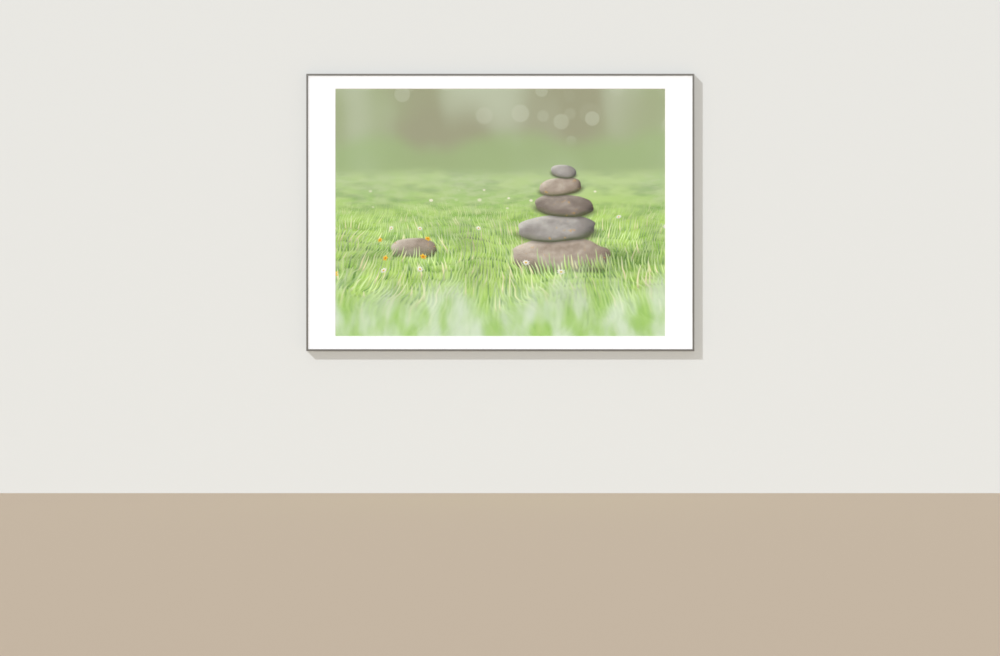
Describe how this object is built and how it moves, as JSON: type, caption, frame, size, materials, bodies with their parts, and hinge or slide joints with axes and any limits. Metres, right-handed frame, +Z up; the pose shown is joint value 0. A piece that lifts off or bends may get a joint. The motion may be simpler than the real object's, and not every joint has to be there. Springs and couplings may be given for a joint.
{
  "type": "framed wall print",
  "caption": "Slim square-edged metal wall frame holding a landscape print in a white window mat behind clear glazing, hung by slotted hangers.",
  "frame": {"origin": "the middle of the whole object: centred across and up, half way between the front face of the frame and the wall behind it", "axes": "+Z up, -Y the way the print faces, +Y towards the wall, +X to the right as seen from the front"},
  "size_m": [0.942, 0.022, 0.673],
  "materials": {
    "rail": "satin",
    "glazing": "polished",
    "mat": "matte",
    "print": "satin",
    "board": "matte",
    "plate": "satin",
    "spring": "satin",
    "screw": "satin",
    "bumper": "matte"
  },
  "bodies": {
    "root": {"glazing": "glazing", "window_mat": "mat", "print_sheet": "print", "backing_board": "board", "rail_bottom": "rail", "rail_right": "rail", "rail_top": "rail", "rail_left": "rail", "corner_plate_bottom_left": "plate", "corner_plate_bottom_right": "plate", "corner_plate_top_right": "plate", "corner_plate_top_left": "plate", "corner_base_bottom_left": "plate", "corner_base_bottom_right": "plate", "corner_base_top_right": "plate", "corner_base_top_left": "plate", "corner_screw_bottom_left_1": "screw", "corner_screw_bottom_left_2": "screw", "corner_screw_bottom_right_1": "screw", "corner_screw_bottom_right_2": "screw", "corner_screw_top_right_1": "screw", "corner_screw_top_right_2": "screw", "corner_screw_top_left_1": "screw", "corner_screw_top_left_2": "screw", "spring_clip_bottom_1": "spring", "spring_clip_bottom_2": "spring", "spring_clip_bottom_3": "spring", "spring_clip_right_1": "spring", "spring_clip_right_2": "spring", "spring_clip_top_1": "spring", "spring_clip_top_2": "spring", "spring_clip_top_3": "spring", "spring_clip_left_1": "spring", "spring_clip_left_2": "spring", "hanger_left": "plate", "hanger_right": "plate", "hanger_screw_left": "screw", "hanger_screw_right": "screw", "wall_bumper_bottom_left": "bumper", "wall_bumper_bottom_right": "bumper", "wall_bumper_top_left": "bumper", "wall_bumper_top_right": "bumper"}
  },
  "joints": []
}
